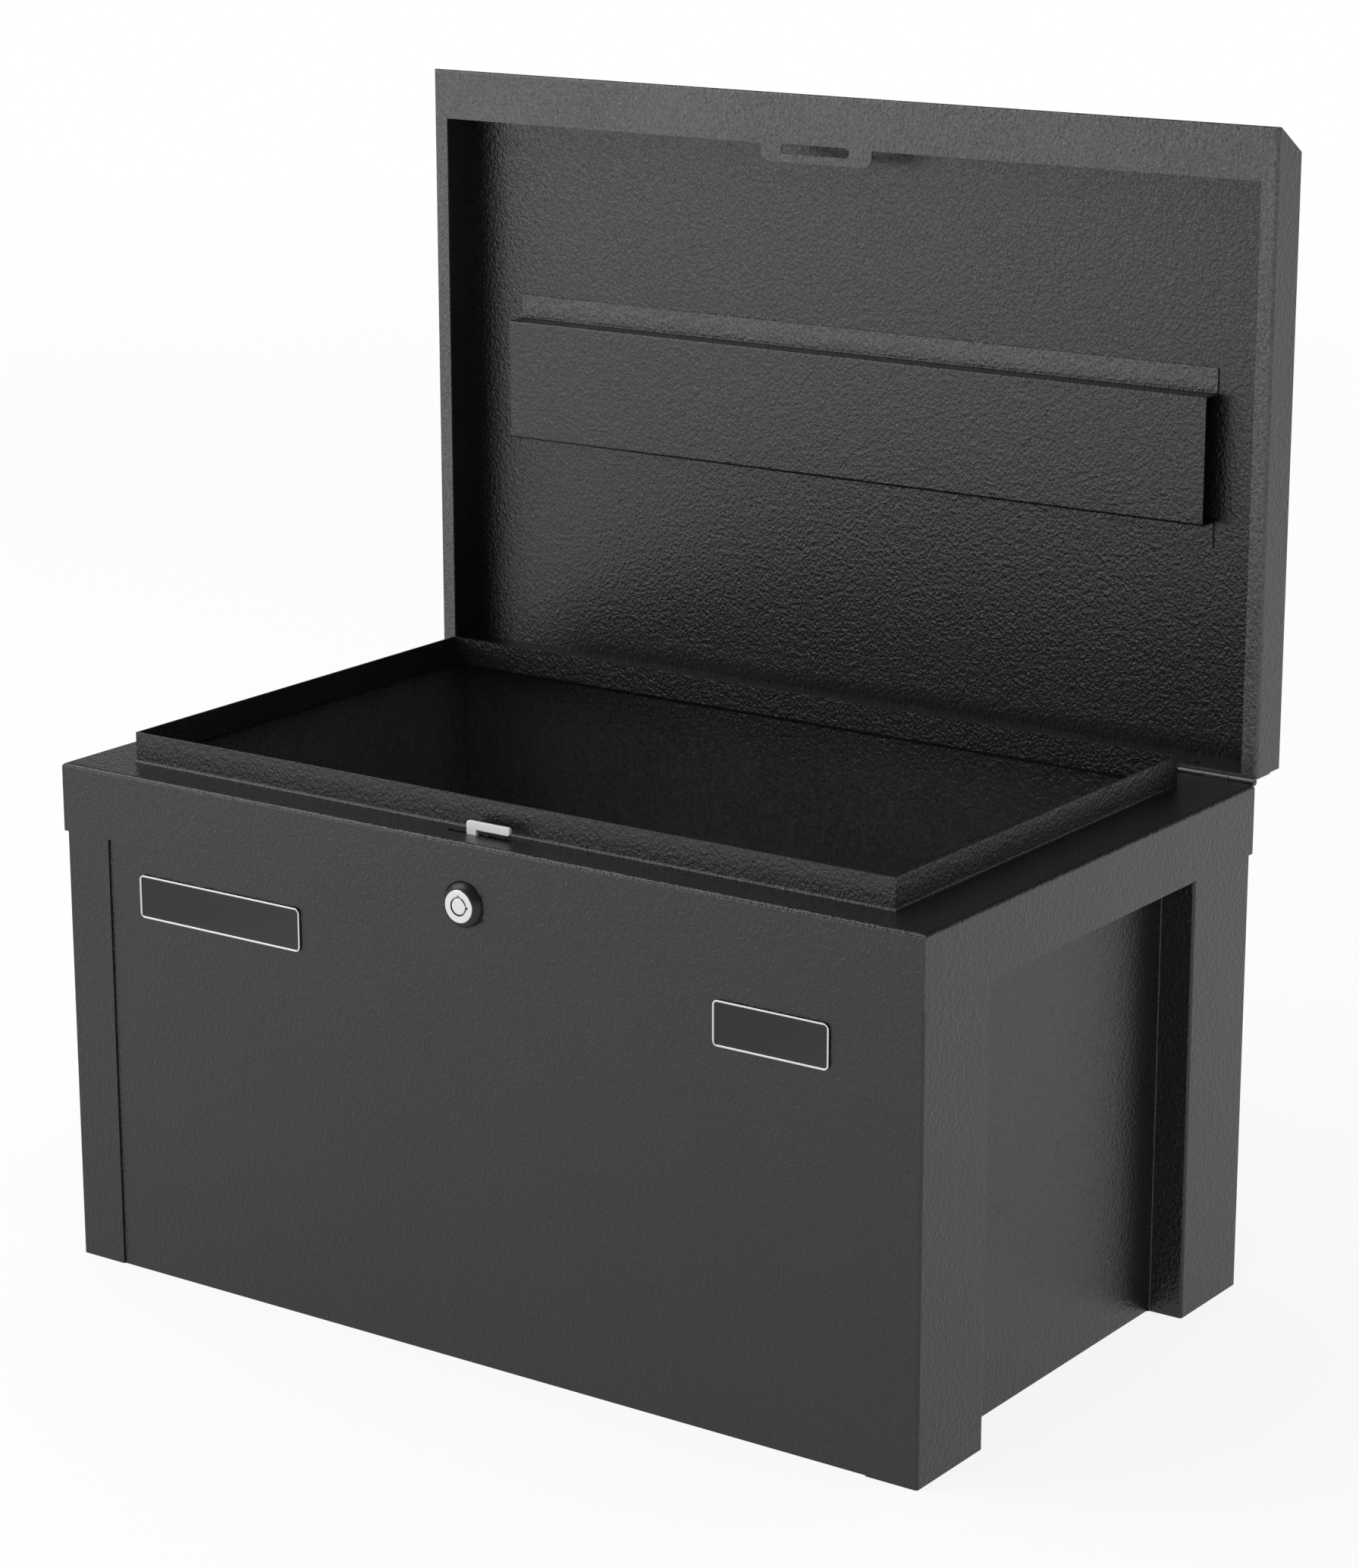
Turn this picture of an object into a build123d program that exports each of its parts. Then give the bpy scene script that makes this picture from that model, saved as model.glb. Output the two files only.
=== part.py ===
from build123d import *
import os
from math import cos, radians, sin

# A sheet-steel tool box with a hinged lid, drawn with the lid open and the latch thrown.
# The origin is the middle of the base: +X to the right, +Y to the hinge, +Z up, in millimetres.

os.makedirs("parts", exist_ok=True)

# Sheet metal
sheet = 1.2
fold = 0.8
overrun = 2.0

# Top frame
band_width = 660.0
band_depth = 394.0
band_height = 45.6
deck_height = 339.2
edge_radius = 2.8
deck_side = 38.8
deck_front = 29.2
deck_rear = 31.9
lip_height = 20.0
lip_fold = 1.8

# Legs, panels and base
leg_strip = 35.8
leg_depth = 73.0
recess_depth = 24.6
weld_flange = 2.5

# Lid, in the closed position: the rim's rise is measured from the hinge axis
lid_set_in = 0.8
lid_height = 32.5
lid_overhang = 18.9
lid_slope = 20.4
lid_radius = 2.0
rim_rise = 0.8
side_return = 11.0
front_return = 35.3
tab_clearance = 1.2
tab_radius = 7.5
tab_left_margin = 16.2
tab_right_margin = 17.6
slot_width = 6.7
slot_play = 12.1

# Lid stiffener
rail_set_in = 52.6
rail_face = 83.5
rail_flange = 16.4
rail_depth = 16.0
rail_near = 156.5

# Piano hinge
leaf = 1.0
leaf_height = 20.0
knuckle_radius = 2.4
knuckle_count = 36
knuckle_gap = 0.4
hinge_inset = 1.0
hinge_rise = 0.8
pin_clearance = 0.05
pin_overhang = 0.4

# Rivets
rivet_radius = 1.6
rivet_head_radius = 3.2
rivet_head_height = 1.0
rivet_tail_radius = 2.4
rivet_tail_height = 0.9
rivet_count = 6
rivet_margin = 13.0
rivet_clearance = 0.05

# Lock
lock_drop = 39.2
collar_radius = 14.5
collar_top_radius = 11.1
collar_height = 6.9
collar_bulge = 0.5
notch_clearance = 0.5
lock_stand = 7.5
head_radius = 10.4
head_thickness = 3.0
head_edge = 0.4
thread_radius = 9.0
barrel_length = 19.1
keyway_radius = 6.1
keyway_width = 1.0
keyway_depth = 6.0
key_notch_width = 1.8
key_notch_depth = 1.1
lock_clearance = 0.05
nut_across_flats = 24.0
nut_thickness = 4.0
tail_width = 7.0

# Cam and its screw
cam_gap = 0.4
cam_thickness = 2.5
cam_hub_radius = 7.5
cam_tip_radius = 3.6
cam_arm = 10.0
cam_swing = 90.0
drive_pin_radius = 2.0
screw_radius = 1.7
screw_length = 6.0
screw_head_radius = 4.3
screw_head_height = 2.4
screw_slot_width = 0.9
screw_slot_depth = 1.0

# Latch
latch_thickness = 2.5
latch_gap = 1.0
latch_half_width = 38.0
latch_bottom_rise = 5.0
latch_top_drop = 8.2
drive_slack = 0.5
hook_left = -11.0
hook_right = 22.0
stem_width = 7.5
hook_height = 5.2
hook_radius = 1.8
hook_bite = 5.5
hook_clearance = 0.3
deck_slot_clearance = 0.8

# Latch bracket and shoulder rivets
bracket_sheet = 1.5
bracket_height = 20.0
bracket_foot = 14.0
slide_clearance = 0.3
guide_spacing = 34.0
guide_radius = 3.0
guide_head_radius = 4.6
guide_head_height = 1.6
guide_tail_radius = 4.2
guide_tail_height = 1.0

# Badges
badge_height = 28.7
badge_drop = 19.6
badge_radius = 3.5
badge_thickness = 1.6
badge_rim = 1.3
badge_recess = 0.5
left_badge_width = 134.1
left_badge_inset = 63.6
right_badge_width = 81.6
right_badge_inset = 65.1

# Places worked out from the sizes above
leg_x = band_width / 2 - sheet
leg_y = band_depth / 2 - sheet
panel_y = leg_y - sheet
panel_back = panel_y - sheet
panel_half = leg_x - sheet - fold
side_x = leg_x - recess_depth
recess_half = leg_y - leg_depth
wall_top = deck_height - edge_radius
band_bottom = deck_height - band_height
fold_middle = fold + sheet / 2
lip_x = band_width / 2 - deck_side
lip_front = deck_front - band_depth / 2
lip_rear = band_depth / 2 - deck_rear
lip_width = 2 * lip_x
lip_depth = lip_rear - lip_front
lip_middle = (lip_front + lip_rear) / 2

hinge_y = band_depth / 2 + knuckle_radius
hinge_z = deck_height + hinge_rise
hinge_length = band_width - 2 * hinge_inset
knuckle_pitch = hinge_length / knuckle_count
bore_radius = knuckle_radius - leaf
rivet_line = (leaf_height + knuckle_radius + knuckle_gap) / 2
rivet_pitch = 2 * (leg_x - leg_strip - rivet_margin) / (rivet_count - 1)

# Planes of the lid as it stands open. A point on lid_plan is (x, y) of the closed lid, on lid_side
# (y, z) and on lid_rear (x, z), all measured from the hinge axis.
hinge_point = (0, hinge_y, hinge_z)
lid_plan = Plane(origin=hinge_point, x_dir=(1, 0, 0), z_dir=(0, 1, 0))
lid_side = Plane(origin=hinge_point, x_dir=(0, 0, -1), z_dir=(1, 0, 0))
lid_rear = Plane(origin=hinge_point, x_dir=(1, 0, 0), z_dir=(0, 0, 1))
lid_width = band_width - 2 * lid_set_in
lid_reach = hinge_y + band_depth / 2 + lid_overhang
lid_back = -knuckle_radius
lid_top = rim_rise + lid_height

# The lock and latch are stacked along -Y: each value is a distance in front of the origin
lock_height = deck_height - lock_drop
lock_face = panel_y + lock_stand
barrel_end = lock_face - barrel_length
cam_front = barrel_end - cam_gap
cam_back = cam_front - cam_thickness
latch_front = cam_back - latch_gap
latch_back = latch_front - latch_thickness
web_front = latch_back - slide_clearance
web_back = web_front - bracket_sheet

# The latch slides left by its throw as the cam swings from one side of upright to the other
throw = 2 * cam_arm * sin(radians(cam_swing / 2))
latch_bottom = lock_height + latch_bottom_rise
latch_top = deck_height - latch_top_drop
hook_bottom = hinge_z + rim_rise + sheet + hook_clearance
hook_top = hook_bottom + hook_height
guide_height = (latch_top + lock_height + cam_arm + drive_pin_radius) / 2
bracket_half = latch_half_width + throw + bracket_sheet + overrun

# Base plate: a flat sheet between the four walls
with BuildPart() as base_plate:
    with BuildSketch(Plane.XY):
        Rectangle(2 * (side_x - sheet), 2 * panel_back)
    extrude(amount=sheet)
base_plate.part.label = "base_plate"
export_step(base_plate.part, "parts/base_plate.step")

# Front panel, with the hole for the lock
with BuildPart() as front_panel:
    with BuildSketch(Plane.XZ.offset(panel_back)):
        with Locations((0, wall_top / 2)):
            Rectangle(2 * panel_half, wall_top)
        with Locations((0, lock_height)):
            Circle(thread_radius + lock_clearance, mode=Mode.SUBTRACT)
    extrude(amount=sheet)
front_panel.part.label = "front_panel"
export_step(front_panel.part, "parts/front_panel.step")

# Rear panel
with BuildPart() as rear_panel:
    with BuildSketch(Plane.XZ.offset(-panel_y)):
        with Locations((0, wall_top / 2)):
            Rectangle(2 * panel_half, wall_top)
    extrude(amount=sheet)
rear_panel.part.label = "rear_panel"
export_step(rear_panel.part, "parts/rear_panel.step")

# Side panels, set back behind the legs and standing up to the deck
side_panel_places = {
    "left_side_panel": -side_x,
    "right_side_panel": side_x - sheet,
}
for node, near_face in side_panel_places.items():
    with BuildPart() as side_panel:
        with BuildSketch(Plane.YZ.offset(near_face)):
            with Locations((0, (deck_height - sheet) / 2)):
                Rectangle(2 * panel_back, deck_height - sheet)
        extrude(amount=sheet)
    side_panel.part.label = node
    export_step(side_panel.part, f"parts/{node}.step")

# Legs: front strip, side, return and weld flange, folded from one sheet
leg_signs = {
    "front_left_leg": (-1, -1),
    "front_right_leg": (1, -1),
    "rear_left_leg": (-1, 1),
    "rear_right_leg": (1, 1),
}
half_sheet = sheet / 2
for node, (across, along) in leg_signs.items():
    strip_line = along * (leg_y - half_sheet)
    side_line = across * (leg_x - half_sheet)
    return_line = along * (recess_half + half_sheet)
    flange_line = across * (side_x + half_sheet)
    with BuildPart() as leg:
        with BuildSketch(Plane.XY):
            with BuildLine():
                FilletPolyline(
                    (across * (leg_x - leg_strip), strip_line),
                    (side_line, strip_line),
                    (side_line, return_line),
                    (flange_line, return_line),
                    (flange_line, along * (recess_half + sheet - weld_flange)),
                    radius=fold_middle,
                )
            trace(line_width=sheet)
        extrude(amount=wall_top)
    leg.part.label = node
    export_step(leg.part, f"parts/{node}.step")

# Top frame: skirt band, deck and lip, with the lock's notch, the hook's slot and rivet holes, in one shape
lip_land = lip_fold + sheet
hook_slot_left = hook_left - throw - deck_slot_clearance
hook_slot_right = hook_right + deck_slot_clearance
with BuildPart() as top_frame:
    with BuildSketch(Plane.XY.offset(band_bottom)):
        Rectangle(band_width, band_depth)
    extrude(amount=band_height)
    fillet(top_frame.faces().sort_by(Axis.Z)[-1].edges(), radius=edge_radius)
    with BuildSketch(Plane.XY.offset(band_bottom)):
        Rectangle(2 * leg_x, 2 * leg_y)
    extrude(amount=band_height - sheet, mode=Mode.SUBTRACT)
    underside = top_frame.faces().filter_by(Axis.Z).group_by(Axis.Z)[1]
    fillet(underside.edges(), radius=edge_radius - sheet)
    with BuildSketch(Plane.XY.offset(deck_height)):
        with Locations((0, lip_middle)):
            Rectangle(lip_width + 2 * lip_land, lip_depth + 2 * lip_land)
    extrude(amount=-sheet, mode=Mode.SUBTRACT)
    with BuildLine(Plane.XY.offset(deck_height)) as lip_path:
        Polyline(
            (-lip_x, lip_middle),
            (-lip_x, lip_front),
            (lip_x, lip_front),
            (lip_x, lip_rear),
            (-lip_x, lip_rear),
            (-lip_x, lip_middle),
        )
    lip_start = Plane(origin=(-lip_x, lip_middle, deck_height), x_dir=(1, 0, 0), z_dir=(0, -1, 0))
    with BuildSketch(lip_start):
        with BuildLine():
            FilletPolyline(
                (-lip_land, -half_sheet),
                (half_sheet, -half_sheet),
                (half_sheet, lip_height),
                radius=lip_fold + half_sheet,
            )
        trace(line_width=sheet)
    sweep(path=lip_path.line, transition=Transition.RIGHT)
    with BuildSketch(Plane.XZ.offset(band_depth / 2)):
        with Locations((0, lock_height)):
            Circle(collar_radius + notch_clearance)
    extrude(amount=-2 * sheet, mode=Mode.SUBTRACT)
    with BuildSketch(Plane.XY.offset(deck_height)):
        with Locations(((hook_slot_left + hook_slot_right) / 2, -(latch_front + latch_back) / 2)):
            Rectangle(hook_slot_right - hook_slot_left, latch_thickness + 2 * deck_slot_clearance)
    extrude(amount=-sheet, mode=Mode.SUBTRACT)
    with BuildSketch(Plane.XZ.offset(-band_depth / 2)):
        with Locations((0, hinge_z - rivet_line)):
            with GridLocations(rivet_pitch, 0, rivet_count, 1):
                Circle(rivet_radius + rivet_clearance)
    extrude(amount=sheet, mode=Mode.SUBTRACT)

# Top rails: the frame is welded from four folded rails, jointed where the legs' returns stand
joint_y = recess_half + sheet
edge_x = band_width / 2 + overrun
edge_y = band_depth / 2 + overrun
rail_spans = {
    "front_top_rail": (-edge_x, edge_x, -edge_y, -joint_y),
    "rear_top_rail": (-edge_x, edge_x, joint_y, edge_y),
    "left_top_rail": (-edge_x, 0, -joint_y, joint_y),
    "right_top_rail": (0, edge_x, -joint_y, joint_y),
}
for node, (x_low, x_high, y_low, y_high) in rail_spans.items():
    with BuildPart() as rail:
        add(top_frame.part)
        with BuildSketch(Plane.XY.offset(band_bottom)):
            with Locations(((x_low + x_high) / 2, (y_low + y_high) / 2)):
                Rectangle(x_high - x_low, y_high - y_low)
        extrude(amount=band_height + lip_height + overrun, mode=Mode.INTERSECT)
    rail.part.label = node
    export_step(rail.part, f"parts/{node}.step")

# Lid: a tray with a sloped front, its rim turned in at the sides and front, and a slotted tab
mouth_front = lid_reach - front_return
mouth_rear = sheet - lid_back
tab_depth = mouth_front - (hinge_y - lip_front + tab_clearance)
slot_middle = hinge_y + (latch_front + latch_back) / 2
slot_left = hook_left - throw - slot_play
slot_right = hook_right - hook_bite
tab_left = slot_left - tab_left_margin
tab_right = slot_right + tab_right_margin
with BuildPart() as lid_shell:
    with BuildSketch(lid_side) as lid_profile:
        with BuildLine():
            Polyline(
                (lid_back, rim_rise),
                (-lid_reach, rim_rise),
                (lid_slope - lid_reach, lid_top),
                (lid_back, lid_top),
                close=True,
            )
        make_face()
    extrude(amount=lid_width / 2, both=True)
    lid_faces = lid_shell.faces().sort_by(Axis.Y)
    turned_rim = lid_faces[0].edges().sort_by(Axis.Z)[1:]
    fillet(turned_rim + lid_faces[-1].edges(), radius=lid_radius)
    with BuildSketch(lid_side):
        add(lid_profile.sketch_local)
        offset(amount=-sheet, mode=Mode.REPLACE)
    extrude(amount=lid_width / 2 - sheet, both=True, mode=Mode.SUBTRACT)
    with BuildSketch(lid_plan.offset(rim_rise)):
        with Locations((0, -(mouth_front + mouth_rear) / 2)):
            Rectangle(lid_width - 2 * side_return, mouth_front - mouth_rear)
        with Locations(((tab_left + tab_right) / 2, -mouth_front)):
            RectangleRounded(tab_right - tab_left, 2 * tab_depth, tab_radius, mode=Mode.SUBTRACT)
        with Locations(((slot_left + slot_right) / 2, -slot_middle)):
            SlotOverall(slot_right - slot_left, slot_width)
    extrude(amount=sheet, mode=Mode.SUBTRACT)
    with BuildSketch(lid_rear.offset(knuckle_radius)):
        with Locations((0, rivet_line)):
            with GridLocations(rivet_pitch, 0, rivet_count, 1):
                Circle(rivet_radius + rivet_clearance)
    extrude(amount=sheet, mode=Mode.SUBTRACT)
lid_shell.part.label = "lid_shell"
export_step(lid_shell.part, "parts/lid_shell.step")

# Lid stiffener: a top-hat rail on the inside of the lid
rail_far = rail_near + rail_face
rail_seat = lid_top - sheet - half_sheet
rail_crown = lid_top - sheet - rail_depth + half_sheet
with BuildPart() as lid_stiffener:
    with BuildSketch(lid_side):
        with BuildLine():
            FilletPolyline(
                (rail_flange - rail_near, rail_seat),
                (-rail_near - half_sheet, rail_seat),
                (-rail_near - half_sheet, rail_crown),
                (half_sheet - rail_far, rail_crown),
                (half_sheet - rail_far, rail_seat),
                (-rail_far - rail_flange, rail_seat),
                radius=fold_middle,
            )
        trace(line_width=sheet)
    extrude(amount=lid_width / 2 - rail_set_in, both=True)
lid_stiffener.part.label = "lid_stiffener"
export_step(lid_stiffener.part, "parts/lid_stiffener.step")

# Hinge leaves: a flat strip with every other knuckle rolled from it
knuckle_starts = [
    number * knuckle_pitch - (hinge_length - knuckle_gap) / 2 for number in range(knuckle_count)
]
strip_start = knuckle_radius + knuckle_gap
strip_height = leaf_height - strip_start
with BuildPart() as hinge_fixed_leaf:
    with BuildSketch(Plane.XZ.offset(-band_depth / 2 - leaf)):
        with Locations((0, hinge_z - rivet_line)):
            Rectangle(hinge_length, strip_height)
            with GridLocations(rivet_pitch, 0, rivet_count, 1):
                Circle(rivet_radius + rivet_clearance, mode=Mode.SUBTRACT)
    extrude(amount=leaf)
    with BuildSketch(*[Plane.YZ.offset(start) for start in knuckle_starts[0::2]]):
        with Locations((hinge_y, hinge_z)):
            Circle(knuckle_radius)
            with Locations(((leaf - 2 * knuckle_radius) / 2, -strip_start / 2)):
                Rectangle(leaf, strip_start)
            Circle(bore_radius, mode=Mode.SUBTRACT)
    extrude(amount=knuckle_pitch - knuckle_gap)
hinge_fixed_leaf.part.label = "hinge_fixed_leaf"
export_step(hinge_fixed_leaf.part, "parts/hinge_fixed_leaf.step")

with BuildPart() as hinge_moving_leaf:
    with BuildSketch(lid_rear.offset(bore_radius)):
        with Locations((0, rivet_line)):
            Rectangle(hinge_length, strip_height)
            with GridLocations(rivet_pitch, 0, rivet_count, 1):
                Circle(rivet_radius + rivet_clearance, mode=Mode.SUBTRACT)
    extrude(amount=leaf)
    with BuildSketch(*[lid_side.offset(start) for start in knuckle_starts[1::2]]):
        Circle(knuckle_radius)
        with Locations(((leaf - 2 * knuckle_radius) / 2, strip_start / 2)):
            Rectangle(leaf, strip_start)
        Circle(bore_radius, mode=Mode.SUBTRACT)
    extrude(amount=knuckle_pitch - knuckle_gap)
hinge_moving_leaf.part.label = "hinge_moving_leaf"
export_step(hinge_moving_leaf.part, "parts/hinge_moving_leaf.step")

# Hinge pin
with BuildPart() as hinge_pin:
    with BuildSketch(lid_side):
        Circle(bore_radius - pin_clearance)
    extrude(amount=hinge_length / 2 + pin_overhang, both=True)
    chamfer(hinge_pin.edges(), length=pin_overhang)
hinge_pin.part.label = "hinge_pin"
export_step(hinge_pin.part, "parts/hinge_pin.step")

# Rivets of the hinge leaves: each seat is the outer face of a leaf, facing into the sheet
rivet_rows = {
    "hinge_body_rivets": (Plane.XZ.offset(-band_depth / 2 - leaf), hinge_z - rivet_line),
    "hinge_lid_rivets": (lid_rear.offset(bore_radius), rivet_line),
}
for node, (seat, row) in rivet_rows.items():
    with BuildPart() as rivets:
        with BuildSketch(seat):
            with Locations((0, row)):
                with GridLocations(rivet_pitch, 0, rivet_count, 1):
                    Circle(rivet_head_radius)
        extrude(amount=-rivet_head_height)
        crowns = rivets.faces().filter_by(GeomType.PLANE).sort_by(Axis(seat.origin, seat.z_dir))
        fillet(crowns[:rivet_count].edges(), radius=rivet_head_height / 2)
        with BuildSketch(seat):
            with Locations((0, row)):
                with GridLocations(rivet_pitch, 0, rivet_count, 1):
                    Circle(rivet_radius)
        extrude(amount=leaf + sheet)
        with BuildSketch(seat.offset(leaf + sheet)):
            with Locations((0, row)):
                with GridLocations(rivet_pitch, 0, rivet_count, 1):
                    Circle(rivet_tail_radius)
        extrude(amount=rivet_tail_height)
    rivets.part.label = node
    export_step(rivets.part, f"parts/{node}.step")

# Lock collar: a dark bell-shaped ring, seated on the front panel in the notch of the band
collar_seat = -panel_y
collar_face = -(panel_y + collar_height)
head_seat = -(lock_face - head_thickness)
with BuildPart() as lock_collar:
    with BuildSketch(Plane.YZ):
        with BuildLine():
            Polyline(
                (collar_face, lock_height + collar_top_radius),
                (collar_face, lock_height + head_radius + lock_clearance),
                (head_seat, lock_height + head_radius + lock_clearance),
                (head_seat, lock_height + thread_radius + lock_clearance),
                (collar_seat, lock_height + thread_radius + lock_clearance),
                (collar_seat, lock_height + collar_radius),
                (-band_depth / 2, lock_height + collar_radius),
            )
            SagittaArc(
                (-band_depth / 2, lock_height + collar_radius),
                (collar_face, lock_height + collar_top_radius),
                -collar_bulge,
            )
        make_face()
    revolve(axis=Axis((0, 0, lock_height), (0, 1, 0)))
lock_collar.part.label = "lock_collar"
export_step(lock_collar.part, "parts/lock_collar.step")

# Lock housing: bright head, threaded barrel, and a bore with two notches for the key
with BuildPart() as lock_housing:
    with BuildSketch(Plane.XZ.offset(lock_face)):
        with Locations((0, lock_height)):
            Circle(head_radius)
    extrude(amount=-head_thickness)
    fillet(lock_housing.faces().sort_by(Axis.Y)[0].edges(), radius=head_edge)
    with BuildSketch(Plane.XZ.offset(barrel_end)):
        with Locations((0, lock_height)):
            Circle(thread_radius)
    extrude(amount=barrel_length - head_thickness)
    with BuildSketch(Plane.XZ.offset(lock_face)):
        with Locations((0, lock_height)):
            Circle(keyway_radius)
    extrude(amount=-barrel_length, mode=Mode.SUBTRACT)
    with BuildSketch(Plane.XZ.offset(lock_face)):
        with Locations((0, lock_height + keyway_radius)):
            Rectangle(key_notch_width, 2 * key_notch_depth)
        with Locations((keyway_radius, lock_height)):
            Rectangle(2 * key_notch_depth, key_notch_width)
    extrude(amount=-head_thickness, mode=Mode.SUBTRACT)
lock_housing.part.label = "lock_housing"
export_step(lock_housing.part, "parts/lock_housing.step")

# Lock core: a post inside the ring-shaped keyway, the core behind it and a square tail
core_front = lock_face - keyway_depth
with BuildPart() as lock_core:
    with BuildSketch(Plane.XZ.offset(barrel_end)):
        with Locations((0, lock_height)):
            Circle(keyway_radius - lock_clearance)
    extrude(amount=core_front - barrel_end)
    with BuildSketch(Plane.XZ.offset(core_front)):
        with Locations((0, lock_height)):
            Circle(keyway_radius - keyway_width)
    extrude(amount=keyway_depth)
    fillet(lock_core.faces().sort_by(Axis.Y)[0].edges(), radius=head_edge)
    with BuildSketch(Plane.XZ.offset(cam_back)):
        with Locations((0, lock_height)):
            Rectangle(tail_width, tail_width)
    extrude(amount=barrel_end - cam_back)
    with BuildSketch(Plane.XZ.offset(cam_back)):
        with Locations((0, lock_height)):
            Circle(screw_radius + lock_clearance)
    extrude(amount=screw_length, mode=Mode.SUBTRACT)
lock_core.part.label = "lock_core"
export_step(lock_core.part, "parts/lock_core.step")

# Lock nut, behind the front panel
with BuildPart() as lock_nut:
    with BuildSketch(Plane.XZ.offset(panel_back)):
        with Locations((0, lock_height)):
            RegularPolygon(nut_across_flats / 2, 6, major_radius=False)
            Circle(thread_radius + lock_clearance, mode=Mode.SUBTRACT)
    extrude(amount=-nut_thickness)
lock_nut.part.label = "lock_nut"
export_step(lock_nut.part, "parts/lock_nut.step")

# Cam: an arm on the core's tail, with a pin that drives the latch
pin_x = cam_arm * sin(radians(cam_swing / 2))
pin_z = lock_height + cam_arm * cos(radians(cam_swing / 2))
with BuildPart() as lock_cam:
    with BuildSketch(Plane.XZ.offset(cam_back)):
        with Locations((0, lock_height)):
            Circle(cam_hub_radius)
        with Locations((pin_x, pin_z)):
            Circle(cam_tip_radius)
        make_hull()
        with Locations((0, lock_height)):
            hole_width = tail_width + 2 * lock_clearance
            Rectangle(hole_width, hole_width, mode=Mode.SUBTRACT)
    extrude(amount=cam_thickness)
    with BuildSketch(Plane.XZ.offset(cam_back)):
        with Locations((pin_x, pin_z)):
            Circle(drive_pin_radius)
    extrude(amount=latch_back - cam_back)
lock_cam.part.label = "lock_cam"
export_step(lock_cam.part, "parts/lock_cam.step")

# Cam screw, with a slotted head
with BuildPart() as cam_screw:
    with BuildSketch(Plane.XZ.offset(cam_back)):
        with Locations((0, lock_height)):
            Circle(screw_head_radius)
    extrude(amount=-screw_head_height)
    fillet(cam_screw.faces().sort_by(Axis.Y)[-1].edges(), radius=screw_head_height / 3)
    with BuildSketch(Plane.XZ.offset(cam_back - screw_head_height)):
        with Locations((0, lock_height)):
            Rectangle(2 * screw_head_radius, screw_slot_width)
    extrude(amount=screw_slot_depth, mode=Mode.SUBTRACT)
    with BuildSketch(Plane.XZ.offset(cam_back)):
        with Locations((0, lock_height)):
            Circle(screw_radius)
    extrude(amount=screw_length)
cam_screw.part.label = "cam_screw"
export_step(cam_screw.part, "parts/cam_screw.step")

# Latch: a sliding plate with a fork for the drive pin and a hook that stands through the deck
fork_half = drive_pin_radius + drive_slack
fork_top = lock_height + cam_arm
stem_top = hook_top - hook_radius
with BuildPart() as latch_slide:
    with BuildSketch(Plane.XZ.offset(latch_back)):
        with Locations((0, (latch_bottom + latch_top) / 2)):
            RectangleRounded(2 * latch_half_width, latch_top - latch_bottom, hook_radius)
        with Locations((hook_left + stem_width / 2, (latch_top + stem_top) / 2)):
            Rectangle(stem_width, stem_top - latch_top)
        with Locations(((hook_left + hook_right) / 2, (hook_bottom + hook_top) / 2)):
            RectangleRounded(hook_right - hook_left, hook_height, hook_radius)
        with Locations((pin_x, (latch_bottom + fork_top) / 2)):
            Rectangle(2 * fork_half, fork_top - latch_bottom, mode=Mode.SUBTRACT)
        with Locations((pin_x, fork_top)):
            Circle(fork_half, mode=Mode.SUBTRACT)
        with Locations((throw / 2, guide_height)):
            with GridLocations(guide_spacing, 0, 2, 1):
                SlotCenterToCenter(throw, 2 * (guide_radius + slide_clearance), mode=Mode.SUBTRACT)
    extrude(amount=latch_thickness)
latch_slide.part.label = "latch_slide"
export_step(latch_slide.part, "parts/latch_slide.step")

# Latch bracket: a hat-shaped strip on the inside of the front panel, behind the latch
foot_line = bracket_sheet / 2 - panel_back
web_line = bracket_sheet / 2 - web_front
with BuildPart() as latch_bracket:
    with BuildSketch(Plane.XY.offset(guide_height - bracket_height / 2)):
        with BuildLine():
            FilletPolyline(
                (-bracket_half - bracket_foot, foot_line),
                (-bracket_half, foot_line),
                (-bracket_half, web_line),
                (bracket_half, web_line),
                (bracket_half, foot_line),
                (bracket_half + bracket_foot, foot_line),
                radius=fold + bracket_sheet / 2,
            )
        trace(line_width=bracket_sheet)
    extrude(amount=bracket_height)
    with BuildSketch(Plane.XZ.offset(web_front)):
        with Locations((0, guide_height)):
            with GridLocations(guide_spacing, 0, 2, 1):
                Circle(guide_radius + rivet_clearance)
    extrude(amount=-bracket_sheet, mode=Mode.SUBTRACT)
latch_bracket.part.label = "latch_bracket"
export_step(latch_bracket.part, "parts/latch_bracket.step")

# Shoulder rivets that the latch slides on
guide_head = latch_front + slide_clearance
with BuildPart() as latch_guides:
    with BuildSketch(Plane.XZ.offset(guide_head)):
        with Locations((0, guide_height)):
            with GridLocations(guide_spacing, 0, 2, 1):
                Circle(guide_head_radius)
    extrude(amount=guide_head_height)
    with BuildSketch(Plane.XZ.offset(guide_head)):
        with Locations((0, guide_height)):
            with GridLocations(guide_spacing, 0, 2, 1):
                Circle(guide_radius)
    extrude(amount=web_back - guide_head)
    with BuildSketch(Plane.XZ.offset(web_back)):
        with Locations((0, guide_height)):
            with GridLocations(guide_spacing, 0, 2, 1):
                Circle(guide_tail_radius)
    extrude(amount=-guide_tail_height)
latch_guides.part.label = "latch_guides"
export_step(latch_guides.part, "parts/latch_guides.step")

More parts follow.
